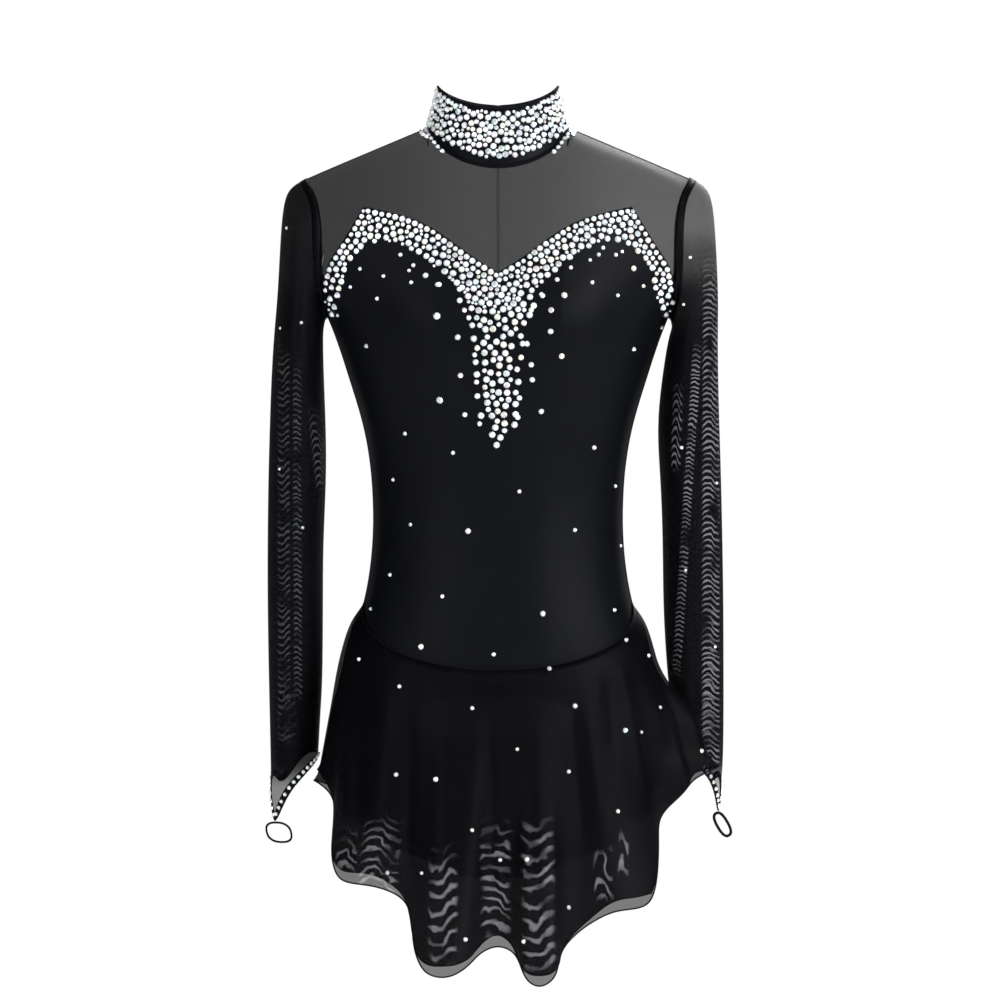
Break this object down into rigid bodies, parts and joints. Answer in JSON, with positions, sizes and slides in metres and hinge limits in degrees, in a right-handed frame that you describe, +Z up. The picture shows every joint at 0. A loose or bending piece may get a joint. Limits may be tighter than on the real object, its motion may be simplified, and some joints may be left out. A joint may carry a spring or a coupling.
{
  "type": "figure skating dress",
  "caption": "Black long-sleeved figure skating dress with a mesh yoke, standing collar, sweetheart band of crystals, pointed cuffs with finger loops and a short layered skirt.",
  "frame": {"origin": "on the centre line inside the neck, at the level of the neck ring, where the wearer holds the dress up", "axes": "+Z up, front towards -Y, +X towards the wearer's left"},
  "size_m": [0.4398, 0.324, 0.8423],
  "materials": {
    "mesh": "sheer",
    "jersey": "soft sheen",
    "elastic": "matt",
    "button": "gloss",
    "crystal": "faceted"
  },
  "bodies": {
    "root": {"collar": "jersey", "yoke_front": "mesh", "yoke_back_left": "mesh", "yoke_back_right": "mesh", "leotard_front": "jersey", "leotard_back": "jersey", "sleeve_left": "mesh", "sleeve_right": "mesh", "finger_loop_left": "elastic", "finger_loop_right": "elastic", "skirt_outer": "mesh", "skirt_inner": "mesh", "button_1": "button", "button_2": "button"}
  },
  "joints": []
}
